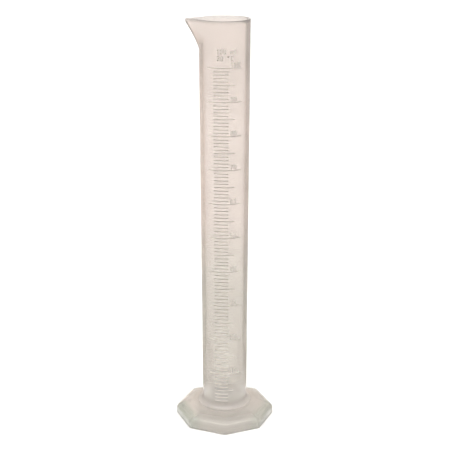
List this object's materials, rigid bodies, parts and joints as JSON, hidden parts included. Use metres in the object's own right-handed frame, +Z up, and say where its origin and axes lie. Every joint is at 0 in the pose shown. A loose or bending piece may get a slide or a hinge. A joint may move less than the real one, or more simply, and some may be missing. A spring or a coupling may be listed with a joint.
{
  "type": "graduated cylinder",
  "caption": "Tall translucent plastic measuring cylinder with a pouring spout, a raised millilitre scale and a hollow octagonal foot.",
  "frame": {"origin": "centre of the octagonal foot, on the surface it stands on", "axes": "+Z up along the tube, -X towards the pouring spout, -Y towards whoever reads the scale"},
  "size_m": [0.0606, 0.0606, 0.248],
  "materials": {
    "tube_polypropylene": "satin, translucent milky natural polypropylene",
    "foot_polypropylene": "satin, translucent milky natural polypropylene",
    "raised_scale": "satin, moulded in relief in the tube's own plastic"
  },
  "bodies": {
    "root": {"measuring_tube": "tube_polypropylene", "octagonal_foot": "foot_polypropylene", "one_ml_lines": "raised_scale", "five_ml_lines": "raised_scale", "ten_ml_lines": "raised_scale", "scale_numerals": "raised_scale", "capacity_label": "raised_scale"}
  },
  "joints": []
}
